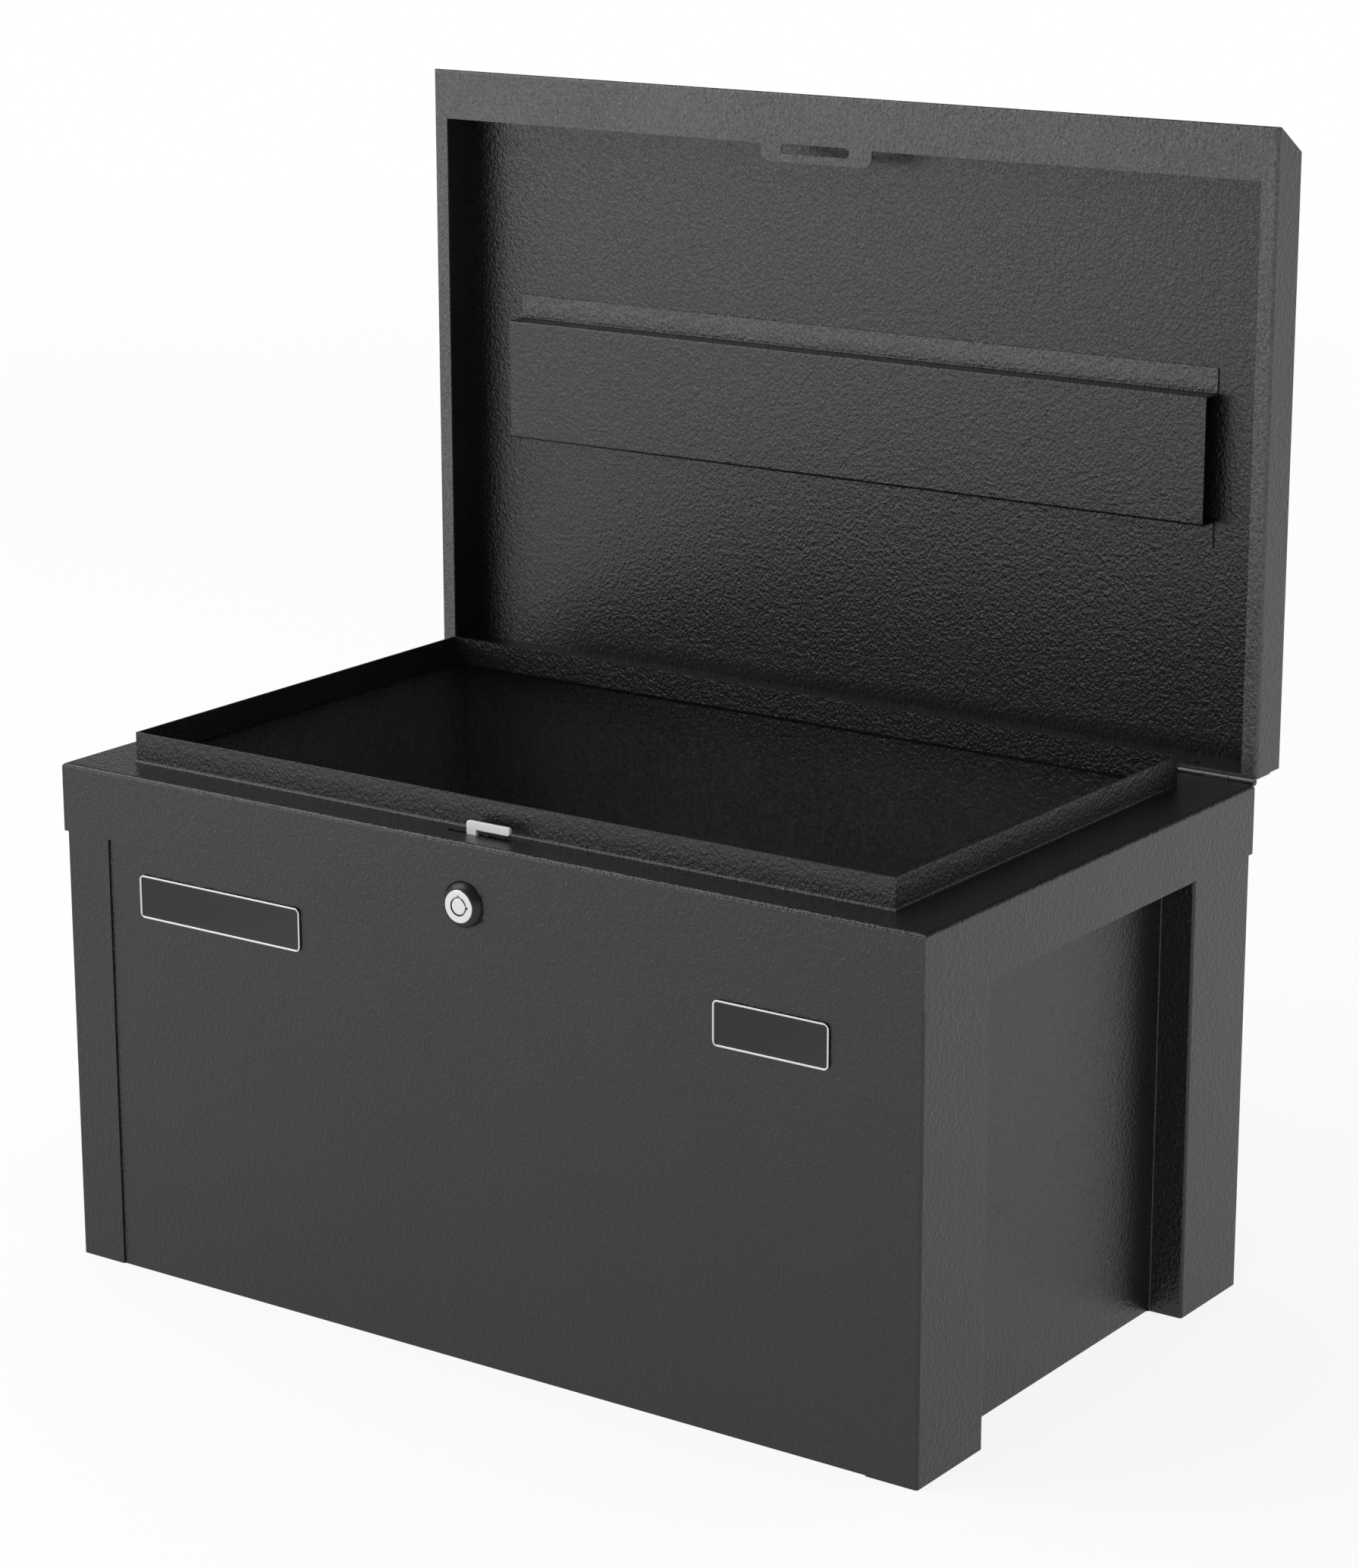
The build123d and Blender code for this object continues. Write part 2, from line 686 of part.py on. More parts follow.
# Badges: bare plates with a raised rim
badge_middle = band_bottom - badge_drop - badge_height / 2
badge_places = {
    "left_badge": (left_badge_inset + (left_badge_width - band_width) / 2, left_badge_width),
    "right_badge": ((band_width - right_badge_width) / 2 - right_badge_inset, right_badge_width),
}
for node, (middle, width) in badge_places.items():
    with BuildPart() as badge:
        with BuildSketch(Plane.XZ.offset(panel_y)):
            with Locations((middle, badge_middle)):
                RectangleRounded(width, badge_height, badge_radius)
        extrude(amount=badge_thickness)
        with BuildSketch(Plane.XZ.offset(panel_y + badge_thickness)):
            with Locations((middle, badge_middle)):
                RectangleRounded(
                    width - 2 * badge_rim, badge_height - 2 * badge_rim, badge_radius - badge_rim
                )
        extrude(amount=-badge_recess, mode=Mode.SUBTRACT)
    badge.part.label = node
    export_step(badge.part, f"parts/{node}.step")
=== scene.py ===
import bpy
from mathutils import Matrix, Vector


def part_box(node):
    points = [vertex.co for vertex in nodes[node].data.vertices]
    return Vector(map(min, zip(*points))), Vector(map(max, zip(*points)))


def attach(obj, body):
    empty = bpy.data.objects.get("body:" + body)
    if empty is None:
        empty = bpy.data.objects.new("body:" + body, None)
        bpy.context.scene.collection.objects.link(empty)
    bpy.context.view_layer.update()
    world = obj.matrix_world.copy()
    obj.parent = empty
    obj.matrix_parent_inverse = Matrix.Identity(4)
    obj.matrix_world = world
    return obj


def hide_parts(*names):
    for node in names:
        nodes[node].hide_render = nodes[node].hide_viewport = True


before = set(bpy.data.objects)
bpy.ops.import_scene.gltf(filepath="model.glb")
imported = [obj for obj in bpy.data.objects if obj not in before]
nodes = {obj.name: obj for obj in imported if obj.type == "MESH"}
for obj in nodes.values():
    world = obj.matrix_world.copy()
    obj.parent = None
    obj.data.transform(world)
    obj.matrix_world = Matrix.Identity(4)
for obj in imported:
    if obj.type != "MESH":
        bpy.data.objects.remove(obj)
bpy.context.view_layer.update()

import math

import bmesh
import bpy
from bpy.props import FloatProperty, FloatVectorProperty, IntProperty, PointerProperty
from mathutils import Matrix, Vector

bl_info = {
    "name": "Steel tool box",
    "version": (1, 0, 0),
    "blender": (4, 5, 0),
    "location": "3D View > Sidebar > Tool Box",
    "description": "Finishes the pieces of a sheet-steel tool box and sets the studio around it",
    "category": "Object",
}

MM = 0.001

PAINTED = (
    "base_plate", "front_panel", "rear_panel", "left_side_panel", "right_side_panel",
    "front_left_leg", "front_right_leg", "rear_left_leg", "rear_right_leg",
    "front_top_rail", "rear_top_rail", "left_top_rail", "right_top_rail", "lid_shell", "lid_stiffener",
)


def linear(code):
    """Linear colour of an sRGB hex value."""
    parts = [int(code[i:i + 2], 16) / 255 for i in (1, 3, 5)]
    return tuple(c / 12.92 if c <= 0.04045 else ((c + 0.055) / 1.055) ** 2.4 for c in parts)


def add(tree, kind, inputs=None, **settings):
    """Adds a node, sets its settings and fills or links its inputs."""
    node = tree.nodes.new(kind)
    for key, value in settings.items():
        setattr(node, key, value)
    for key, value in (inputs or {}).items():
        socket = node.inputs[key]
        if isinstance(value, bpy.types.NodeSocket):
            tree.links.new(value, socket)
        elif socket.type == "RGBA" and len(value) == 3:
            socket.default_value = (*value, 1)
        else:
            socket.default_value = value
    return node


def finish_tree(name):
    """A new material, its node tree and the Object coordinates that every pattern reads."""
    material = bpy.data.materials.new(name)
    material.use_nodes = True
    tree = material.node_tree
    tree.nodes.clear()
    return material, tree, add(tree, "ShaderNodeTexCoord").outputs["Object"]


def surface(tree, inputs):
    """Ends a material in one Principled surface."""
    shader = add(tree, "ShaderNodeBsdfPrincipled", inputs)
    add(tree, "ShaderNodeOutputMaterial", {"Surface": shader.outputs["BSDF"]})


def paint_node(name, material):
    """Gives a CAD node its finish."""
    mesh = nodes[name].data
    mesh.materials.clear()
    mesh.materials.append(material)


class PaintSettings(bpy.types.PropertyGroup):
    colour: FloatVectorProperty(
        name="Paint", description="Colour of the powder coat", subtype="COLOR", min=0, max=1,
        default=linear("#121212"))
    lump: FloatProperty(
        name="Lump", description="Distance between the lumps of the hammered texture", unit="LENGTH",
        min=0.001, max=0.02, precision=4, default=2.8 * MM)
    relief: FloatProperty(
        name="Relief", description="Height of the hammered texture", unit="LENGTH",
        min=0, max=0.001, precision=5, default=0.35 * MM)
    thick: FloatProperty(
        name="Thick coat", description="How much higher the texture stands on the lid's rim",
        min=1, max=6, default=1.6)
    # Painted light: the rim's coat is painted paler to stand in for the light it catches
    pale: FloatProperty(
        name="Pale coat", description="How much paler the coat is on the lid's rim", min=1, max=20, default=8)
    # Painted light: the coat inside the box is painted paler to stand in for the light that falls in
    inside: FloatProperty(
        name="Inside", description="How much paler the coat is inside the box", min=1, max=20, default=5.6)
    roughness: FloatProperty(
        name="Roughness", description="Mean roughness of the coat", subtype="FACTOR", min=0, max=1,
        default=0.27)


class HardwareSettings(bpy.types.PropertyGroup):
    zinc: FloatVectorProperty(
        name="Zinc", description="Colour of the plated latch, bracket and cam", subtype="COLOR",
        min=0, max=1, default=linear("#F5F5F3"))
    chrome: FloatVectorProperty(
        name="Chrome", description="Colour of the lock head", subtype="COLOR", min=0, max=1,
        default=linear("#F0F0F0"))
    collar: FloatVectorProperty(
        name="Collar", description="Colour of the lock's collar", subtype="COLOR", min=0, max=1,
        default=linear("#1B1B1C"))
    rivet: FloatVectorProperty(
        name="Rivet", description="Colour of the hinge rivets", subtype="COLOR", min=0, max=1,
        default=linear("#161617"))
    hinge: FloatVectorProperty(
        name="Hinge", description="Colour of the hinge's rolled steel", subtype="COLOR", min=0, max=1,
        default=linear("#77777A"))
    edge: FloatProperty(
        name="Latch edge", description="Round left on the edges of the blanked latch", unit="LENGTH",
        min=0, max=0.001, precision=5, default=0.35 * MM)
    rivet_count: IntProperty(
        name="Rivets", description="Rivets in each leaf of the hinge", min=2, max=20, default=6)


class BadgeSettings(bpy.types.PropertyGroup):
    field: FloatVectorProperty(
        name="Field", description="Colour of the badge's sunk field", subtype="COLOR", min=0, max=1,
        default=linear("#17181A"))
    rim: FloatVectorProperty(
        name="Rim", description="Colour of the badge's raised rim", subtype="COLOR", min=0, max=1,
        default=linear("#E2E3E4"))
    rim_width: FloatProperty(
        name="Rim width", description="Width of the raised rim", unit="LENGTH",
        min=0.0003, max=0.005, precision=5, default=1.3 * MM)
    recess: FloatProperty(
        name="Recess", description="Depth of the field below the rim", unit="LENGTH",
        min=0, max=0.001, precision=5, default=0.5 * MM)
    corner: FloatProperty(
        name="Corner", description="Radius of the badge's corners", unit="LENGTH",
        min=0.0015, max=0.01, precision=5, default=3.5 * MM)


class StageSettings(bpy.types.PropertyGroup):
    floor: FloatVectorProperty(
        name="Floor", description="Colour of the floor", subtype="COLOR", min=0, max=1,
        default=linear("#FAFAFA"))
    ambient: FloatProperty(
        name="Ambient", description="Even light from all round", min=0, max=2, default=0.7)
    overhead: FloatProperty(
        name="Overhead", description="Brightness that gloss shows of the studio overhead",
        min=0, max=1, default=0.1)
    # Painted shade: gloss shows the floor beside the box darker than further out
    near: FloatProperty(
        name="Near", description="Brightness that gloss shows of the floor beside the box",
        min=0, max=1, default=0.66)
    far: FloatProperty(
        name="Far", description="Brightness that gloss shows of the sweep at the horizon",
        min=0, max=1, default=0.84)
    key: FloatProperty(
        name="Key light", description="Power of the large soft light at the front left", subtype="POWER",
        min=0, max=500, default=8)
    top: FloatProperty(
        name="Top light", description="Power of the soft light at the upper left", subtype="POWER",
        min=0, max=500, default=32)


def raised(tree, value, where, factor):
    """The value times the factor where the mask is 1, and as it is elsewhere."""
    gain = add(tree, "ShaderNodeMath", {0: where, 1: factor - 1, 2: 1}, operation="MULTIPLY_ADD")
    return add(tree, "ShaderNodeMath", {
        0: value, 1: gain.outputs["Value"]}, operation="MULTIPLY").outputs["Value"]


def hammered_powder_coat(settings, name="hammered_powder_coat", thick=None):
    """Polyester powder coat baked thick on sheet steel. It flows into low lumps a few millimetres across, so
    its satin sheen breaks up wherever light and dark meet, and looks even where it reflects one tone.
    Where thick gives an axis, a comparison, a limit and two factors, the relief stands higher there and the colour
    is painted paler, a painted light. The colour is also darker in the creases and paler on the crests, a painted
    shade, with a slow random drift in tone."""
    material, tree, place = finish_tree(name)
    # The floor and the studio grade upwards, which draws the lumps out sideways: they are narrowed to look round
    narrowed = add(tree, "ShaderNodeMapping", {"Vector": place, "Scale": (1.2, 1, 1)}).outputs["Vector"]
    lumps = add(tree, "ShaderNodeTexNoise", {
        "Vector": narrowed, "Scale": 1.7 / settings.lump, "Detail": 2.5, "Roughness": 0.55, "Distortion": 0.5})
    dimples = add(tree, "ShaderNodeTexVoronoi", {
        "Vector": narrowed, "Scale": 1 / settings.lump, "Smoothness": 0.6}, feature="SMOOTH_F1")
    flow_length = 2.2 * settings.lump
    flow = add(tree, "ShaderNodeTexNoise", {
        "Vector": narrowed, "Scale": 1.7 / flow_length, "Detail": 1.5, "Distortion": 0.8})
    rough = add(tree, "ShaderNodeMath", {
        0: dimples.outputs["Distance"], 1: 0.6, 2: lumps.outputs["Fac"]}, operation="MULTIPLY_ADD")
    relief = add(tree, "ShaderNodeMath", {
        0: flow.outputs["Fac"], 1: rough.outputs["Value"]}, operation="ADD")
    grain = add(tree, "ShaderNodeTexNoise", {"Vector": place, "Scale": 1.7 / (1.1 * MM), "Detail": 1})
    drift = add(tree, "ShaderNodeTexNoise", {"Vector": place, "Scale": 1 / (90 * MM), "Detail": 3})
    # Painted shade: the colour is darker in the creases and paler on the crests of the relief, with a slow random
    # drift in tone over it
    painted_crease_shade_and_drift = add(tree, "ShaderNodeMath", {
        0: drift.outputs["Fac"], 1: 0.5, 2: rough.outputs["Value"]}, operation="MULTIPLY_ADD")
    spread = add(tree, "ShaderNodeMapRange", {
        "Value": painted_crease_shade_and_drift.outputs["Value"], "From Min": 0.6, "From Max": 1.3, "To Min": 0.45, "To Max": 1.7})
    height, painted_light_and_drift_factor = relief.outputs["Value"], spread.outputs["Result"]
    if thick is not None:
        axis, comparison, limit, higher, paler = thick
        split = add(tree, "ShaderNodeSeparateXYZ", {"Vector": place})
        where = add(tree, "ShaderNodeMath", {0: split.outputs[axis], 1: limit}, operation=comparison)
        mean_height = 1.2
        level = add(tree, "ShaderNodeMath", {0: height, 1: mean_height}, operation="SUBTRACT")
        height = raised(tree, level.outputs["Value"], where.outputs["Value"], higher)
        # Painted light: the paler factor lightens the colour on these sides
        painted_light_and_drift_factor = raised(tree, painted_light_and_drift_factor, where.outputs["Value"], paler)
    hammered = add(tree, "ShaderNodeBump", {"Strength": 1, "Distance": settings.relief, "Height": height})
    grained = add(tree, "ShaderNodeBump", {
        "Strength": 1, "Distance": 0.012 * MM, "Height": grain.outputs["Fac"],
        "Normal": hammered.outputs["Normal"]})
    tone = add(tree, "ShaderNodeVectorMath", {
        0: tuple(settings.colour), "Scale": painted_light_and_drift_factor}, operation="SCALE")
    gloss = add(tree, "ShaderNodeMapRange", {
        "Value": grain.outputs["Fac"], "From Min": 0.3, "From Max": 0.7,
        "To Min": settings.roughness - 0.04, "To Max": settings.roughness + 0.04})
    surface(tree, {
        "Base Color": tone.outputs["Vector"], "Roughness": gloss.outputs["Result"], "IOR": 1.62,
        "Normal": grained.outputs["Normal"]})
    return material


def bright_zinc(settings):
    """Zinc electroplate on blanked steel, clouded by its passivation: pale and soft rather than mirror-bright,
    with fine rolling lines."""
    material, tree, place = finish_tree("bright_zinc_plate")
    cloud = add(tree, "ShaderNodeTexNoise", {"Vector": place, "Scale": 1 / (6 * MM), "Detail": 4})
    tone = add(tree, "ShaderNodeMix", {
        "Factor": cloud.outputs["Fac"], "A": tuple(c * 0.9 for c in settings.zinc),
        "B": tuple(settings.zinc)}, data_type="RGBA")
    gloss = add(tree, "ShaderNodeMapRange", {
        "Value": cloud.outputs["Fac"], "From Min": 0.3, "From Max": 0.7, "To Min": 0.58, "To Max": 0.7})
    along = add(tree, "ShaderNodeMapping", {"Vector": place, "Scale": (0.05, 1, 1)})
    lines = add(tree, "ShaderNodeTexNoise", {"Vector": along.outputs["Vector"], "Scale": 1 / (0.5 * MM)})
    rolled = add(tree, "ShaderNodeBump", {
        "Strength": 1, "Distance": 0.006 * MM, "Height": lines.outputs["Fac"]})
    surface(tree, {
        "Base Color": tone.outputs["Result"], "Metallic": 0.4, "Roughness": gloss.outputs["Result"],
        "Normal": rolled.outputs["Normal"]})
    return material


def turned_chrome(settings, middle):
    """Satin chrome on a turned lock head: bright, with the lathe's rings about the lock's axis."""
    material, tree, place = finish_tree("turned_satin_chrome")
    centred = add(tree, "ShaderNodeMapping", {"Vector": place, "Location": tuple(-c for c in middle)})
    split = add(tree, "ShaderNodeSeparateXYZ", {"Vector": centred.outputs["Vector"]})
    flat = add(tree, "ShaderNodeCombineXYZ", {"X": split.outputs["X"], "Y": split.outputs["Z"]})
    radius = add(tree, "ShaderNodeVectorMath", {0: flat.outputs["Vector"]}, operation="LENGTH")
    # A lathe leaves rings about 0.1 mm apart: drawn at 0.45 mm so that they show
    turns = add(tree, "ShaderNodeMath", {
        0: radius.outputs["Value"], 1: 2 * math.pi / (0.45 * MM)}, operation="MULTIPLY")
    rings = add(tree, "ShaderNodeMath", {0: turns.outputs["Value"]}, operation="SINE")
    cut = add(tree, "ShaderNodeBump", {
        "Strength": 1, "Distance": 0.004 * MM, "Height": rings.outputs["Value"]})
    haze = add(tree, "ShaderNodeTexNoise", {"Vector": place, "Scale": 1 / (3 * MM), "Detail": 2})
    gloss = add(tree, "ShaderNodeMapRange", {
        "Value": haze.outputs["Fac"], "From Min": 0.3, "From Max": 0.7, "To Min": 0.22, "To Max": 0.32})
    surface(tree, {
        "Base Color": tuple(settings.chrome), "Metallic": 1, "Roughness": gloss.outputs["Result"],
        "Normal": cut.outputs["Normal"]})
    return material


def satin_black_enamel(settings):
    """Black enamel on the die-cast collar: smooth and dark, with one soft highlight round the cone."""
    material, tree, place = finish_tree("satin_black_enamel")
    peel = add(tree, "ShaderNodeTexNoise", {"Vector": place, "Scale": 1 / (1.6 * MM), "Detail": 2})
    skin = add(tree, "ShaderNodeBump", {
        "Strength": 1, "Distance": 0.01 * MM, "Height": peel.outputs["Fac"]})
    gloss = add(tree, "ShaderNodeMapRange", {
        "Value": peel.outputs["Fac"], "From Min": 0.3, "From Max": 0.7, "To Min": 0.3, "To Max": 0.38})
    surface(tree, {
        "Base Color": tuple(settings.collar), "Roughness": gloss.outputs["Result"],
        "Normal": skin.outputs["Normal"]})
    return material


def black_rivet_coat(settings):
    """Black-coated steel blind rivets: dark and satin, scuffed a little by the tool that set them."""
    material, tree, place = finish_tree("black_coated_rivet_steel")
    scuff = add(tree, "ShaderNodeTexNoise", {"Vector": place, "Scale": 1 / (0.8 * MM), "Detail": 3})
    tone = add(tree, "ShaderNodeMix", {
        "Factor": scuff.outputs["Fac"], "A": tuple(c * 0.7 for c in settings.rivet),
        "B": tuple(c * 1.6 for c in settings.rivet)}, data_type="RGBA")
    gloss = add(tree, "ShaderNodeMapRange", {
        "Value": scuff.outputs["Fac"], "From Min": 0.3, "From Max": 0.7, "To Min": 0.32, "To Max": 0.5})
    worn = add(tree, "ShaderNodeBump", {
        "Strength": 1, "Distance": 0.01 * MM, "Height": scuff.outputs["Fac"]})
    surface(tree, {
        "Base Color": tone.outputs["Result"], "Roughness": gloss.outputs["Result"],
        "Normal": worn.outputs["Normal"]})
    return material


def rolled_steel(settings):
    """Plain steel strip rolled into hinge knuckles: mid grey, dulled by handling, with lines along the strip."""
    material, tree, place = finish_tree("plain_rolled_steel")
    along = add(tree, "ShaderNodeMapping", {"Vector": place, "Scale": (0.04, 1, 1)})
    lines = add(tree, "ShaderNodeTexNoise", {
        "Vector": along.outputs["Vector"], "Scale": 1 / (0.6 * MM), "Detail": 3})
    tone = add(tree, "ShaderNodeMix", {
        "Factor": lines.outputs["Fac"], "A": tuple(c * 0.8 for c in settings.hinge),
        "B": tuple(c * 1.15 for c in settings.hinge)}, data_type="RGBA")
    gloss = add(tree, "ShaderNodeMapRange", {
        "Value": lines.outputs["Fac"], "From Min": 0.3, "From Max": 0.7, "To Min": 0.34, "To Max": 0.5})
    rolled = add(tree, "ShaderNodeBump", {
        "Strength": 1, "Distance": 0.008 * MM, "Height": lines.outputs["Fac"]})
    surface(tree, {
        "Base Color": tone.outputs["Result"], "Metallic": 1, "Roughness": gloss.outputs["Result"],
        "Normal": rolled.outputs["Normal"]})
    return material


def polished_rim(settings):
    """Diamond-cut aluminium: the bright edge left where the badge's anodising is cut away."""
    material, tree, place = finish_tree("diamond_cut_aluminium")
    feed = add(tree, "ShaderNodeTexNoise", {"Vector": place, "Scale": 1 / (0.7 * MM), "Detail": 2})
    gloss = add(tree, "ShaderNodeMapRange", {
        "Value": feed.outputs["Fac"], "From Min": 0.3, "From Max": 0.7, "To Min": 0.18, "To Max": 0.28})
    surface(tree, {
        "Base Color": tuple(settings.rim), "Metallic": 1, "Roughness": gloss.outputs["Result"]})
    return material


def anodised_field(settings):
    """Dark anodised aluminium, brushed along its length before dyeing: deep, with a fine level sheen."""
    material, tree, place = finish_tree("dark_brushed_anodising")
    along = add(tree, "ShaderNodeMapping", {"Vector": place, "Scale": (0.03, 1, 1)})
    # Brushing is finer than 0.1 mm: drawn at 0.35 mm so that it shows
    brushed = add(tree, "ShaderNodeTexNoise", {
        "Vector": along.outputs["Vector"], "Scale": 1 / (0.35 * MM), "Detail": 2})
    lines = add(tree, "ShaderNodeBump", {
        "Strength": 1, "Distance": 0.012 * MM, "Height": brushed.outputs["Fac"]})
    tone = add(tree, "ShaderNodeMix", {
        "Factor": brushed.outputs["Fac"], "A": tuple(c * 0.75 for c in settings.field),
        "B": tuple(c * 1.3 for c in settings.field)}, data_type="RGBA")
    gloss = add(tree, "ShaderNodeMapRange", {
        "Value": brushed.outputs["Fac"], "From Min": 0.3, "From Max": 0.7, "To Min": 0.34, "To Max": 0.46})
    surface(tree, {
        "Base Color": tone.outputs["Result"], "Roughness": gloss.outputs["Result"],
        "Normal": lines.outputs["Normal"]})
    return material


class PaintSheets(bpy.types.Operator):
    """Gives every sheet-steel piece its hammered powder coat"""
    bl_idname = "toolbox.paint_sheets"
    bl_label = "Paint the sheet steel"

    def execute(self, context):
        settings = context.scene.toolbox_paint
        # The relief stands higher on the lid's turned-in rim and its stiffener's upper flange, where the coat is
        # also painted paler as painted light; inside the box the coat is painted paler as painted light too
        rim, inside = (settings.thick, settings.pale), (1, settings.inside)
        skin = 0.1 * MM
        rim_sheet = 1.2 * MM + skin
        flange_face = 14.5 * MM
        relief_and_painted_light_sides = {
            "lid_shell": ("Y", "LESS_THAN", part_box("lid_shell")[0].y + rim_sheet, *rim),
            "lid_stiffener": ("Z", "GREATER_THAN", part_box("lid_stiffener")[1].z - flange_face, *rim),
            "front_panel": ("Y", "GREATER_THAN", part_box("front_panel")[1].y - skin, *inside),
            "rear_panel": ("Y", "LESS_THAN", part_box("rear_panel")[0].y + skin, *inside),
            "left_side_panel": ("X", "GREATER_THAN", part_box("left_side_panel")[1].x - skin, *inside),
            "right_side_panel": ("X", "LESS_THAN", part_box("right_side_panel")[0].x + skin, *inside),
            "base_plate": ("Z", "GREATER_THAN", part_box("base_plate")[1].z - skin, *inside),
        }
        coat = hammered_powder_coat(settings)
        for name in PAINTED:
            if name in relief_and_painted_light_sides:
                paint_node(name, hammered_powder_coat(settings, "hammered_powder_coat_" + name, relief_and_painted_light_sides[name]))
            else:
                paint_node(name, coat)
        return {"FINISHED"}


def rivet_row_tree(material):
    """A row of blind rivets along X. Each one is a line from crown to tail whose radius follows its profile."""
    tree = bpy.data.node_groups.new("blind_rivet_row", "GeometryNodeTree")
    tree.is_modifier = True
    sockets = {}
    for name, kind in (("Count", "Int"), ("Pitch", "Float"), ("Length", "Float"), ("Head Radius", "Float"),
                       ("Start", "Vector"), ("Turn", "Vector")):
        sockets[name] = tree.interface.new_socket(
            name, in_out="INPUT", socket_type="NodeSocket" + kind).identifier
    tree.interface.new_socket("Geometry", in_out="OUTPUT", socket_type="NodeSocketGeometry")
    given = add(tree, "NodeGroupInput").outputs
    tail = add(tree, "ShaderNodeCombineXYZ", {"Z": given["Length"]})
    axis = add(tree, "GeometryNodeCurvePrimitiveLine", {"End": tail.outputs["Vector"]})
    rings = add(tree, "GeometryNodeResampleCurve", {"Curve": axis.outputs["Curve"], "Count": 42})
    way = add(tree, "GeometryNodeSplineParameter")
    profile = add(tree, "ShaderNodeFloatCurve", {"Value": way.outputs["Factor"]})
    # Crown with the broken mandrel, dome, flange, shank through leaf and sheet, upset tail
    points = ((0, 0.3), (0.03, 0.42), (0.07, 0.66), (0.13, 0.86), (0.19, 0.97), (0.235, 1), (0.25, 0.5),
              (0.77, 0.5), (0.79, 0.74), (0.93, 0.74), (1, 0.5))
    curve = profile.mapping.curves[0]
    for _ in range(len(points) - 2):
        curve.points.new(0.5, 0.5)
    for point, (along, out) in zip(curve.points, points):
        point.location = (along, out)
        point.handle_type = "VECTOR"
    profile.mapping.update()
    girth = add(tree, "ShaderNodeMath", {
        0: profile.outputs["Value"], 1: given["Head Radius"]}, operation="MULTIPLY")
    round_ = add(tree, "GeometryNodeCurvePrimitiveCircle", {"Resolution": 24, "Radius": 1})
    rivet = add(tree, "GeometryNodeCurveToMesh", {
        "Curve": rings.outputs["Curve"], "Profile Curve": round_.outputs["Curve"],
        "Scale": girth.outputs["Value"], "Fill Caps": True})
    turned = add(tree, "GeometryNodeTransform", {
        "Geometry": rivet.outputs["Mesh"], "Rotation": given["Turn"]})
    step = add(tree, "ShaderNodeCombineXYZ", {"X": given["Pitch"]})
    row = add(tree, "GeometryNodeMeshLine", {
        "Count": given["Count"], "Start Location": given["Start"], "Offset": step.outputs["Vector"]})
    set_ = add(tree, "GeometryNodeInstanceOnPoints", {
        "Points": row.outputs["Mesh"], "Instance": turned.outputs["Geometry"]})
    real = add(tree, "GeometryNodeRealizeInstances", {"Geometry": set_.outputs["Instances"]})
    dressed = add(tree, "GeometryNodeSetMaterial", {
        "Geometry": real.outputs["Geometry"], "Material": material})
    add(tree, "NodeGroupOutput", {"Geometry": dressed.outputs["Geometry"]})
    return tree, sockets


def plain_piece(name, mesh, body, slot, *replaced):
    """Puts a finished mesh in the scene as a piece that rides on a body."""
    piece = bpy.data.objects.new(name, mesh)
    bpy.context.scene.collection.objects.link(piece)
    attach(piece, body)
    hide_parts(*replaced)
    return piece


def smooth_by_angle(mesh, degrees):
    """Shades a mesh smooth, with its sharper edges left crisp."""
    mesh.polygons.foreach_set("use_smooth", [True] * len(mesh.polygons))
    mesh.set_sharp_from_angle(angle=math.radians(degrees))


class FitHinge(bpy.types.Operator):
    """Finishes the hinge's leaves and pin, and sets a row of blind rivets in each leaf"""
    bl_idname = "toolbox.fit_hinge"
    bl_label = "Fit the hinge"

    def execute(self, context):
        settings = context.scene.toolbox_hardware
        steel = rolled_steel(settings)
        for name in ("hinge_fixed_leaf", "hinge_moving_leaf", "hinge_pin"):
            paint_node(name, steel)
        tree, sockets = rivet_row_tree(black_rivet_coat(settings))
        # The body's rivets point forwards from the back, the open lid's point upwards from below
        rows = (("hinge_body_rivets", "box", 1, (math.pi / 2, 0, 0)),
                ("hinge_lid_rivets", "lid", 2, (0, 0, 0)))
        for node, body, axis, turn in rows:
            low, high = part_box(node)
            across = 3 - axis
            head = (high[across] - low[across]) / 2
            start = (low + high) / 2
            start.x = low.x + head
            start[axis] = high.y if axis == 1 else low.z
            values = {
                "Count": settings.rivet_count, "Length": high[axis] - low[axis], "Head Radius": head,
                "Pitch": (high.x - low.x - 2 * head) / (settings.rivet_count - 1), "Start": start, "Turn": turn}
            row = bpy.data.objects.new(node + "_row", bpy.data.meshes.new(node + "_row"))
            context.scene.collection.objects.link(row)
            modifier = row.modifiers.new("rivets", "NODES")
            modifier.node_group = tree
            for name, value in values.items():
                modifier[sockets[name]] = value
            graph = context.evaluated_depsgraph_get()
            mesh = bpy.data.meshes.new_from_object(row.evaluated_get(graph), depsgraph=graph)
            bpy.data.objects.remove(row)
            smooth_by_angle(mesh, 40)
            mesh.name = node + "_domed"
            plain_piece(node + "_domed", mesh, body, "black_rivet", node)
        return {"FINISHED"}


class FitLock(bpy.types.Operator):
    """Finishes the lock: collar, turned head and core, and the cam behind them"""
    bl_idname = "toolbox.fit_lock"
    bl_label = "Fit the lock"

    def execute(self, context):
        settings = context.scene.toolbox_hardware
        low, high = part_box("lock_housing")
        chrome = turned_chrome(settings, (low + high) / 2)
        for name in ("lock_housing", "lock_core"):
            paint_node(name, chrome)
        paint_node("lock_collar", satin_black_enamel(settings))
        zinc = bpy.data.materials.get("bright_zinc_plate") or bright_zinc(settings)
        for name in ("lock_nut", "lock_cam", "cam_screw"):
            paint_node(name, zinc)
        return {"FINISHED"}


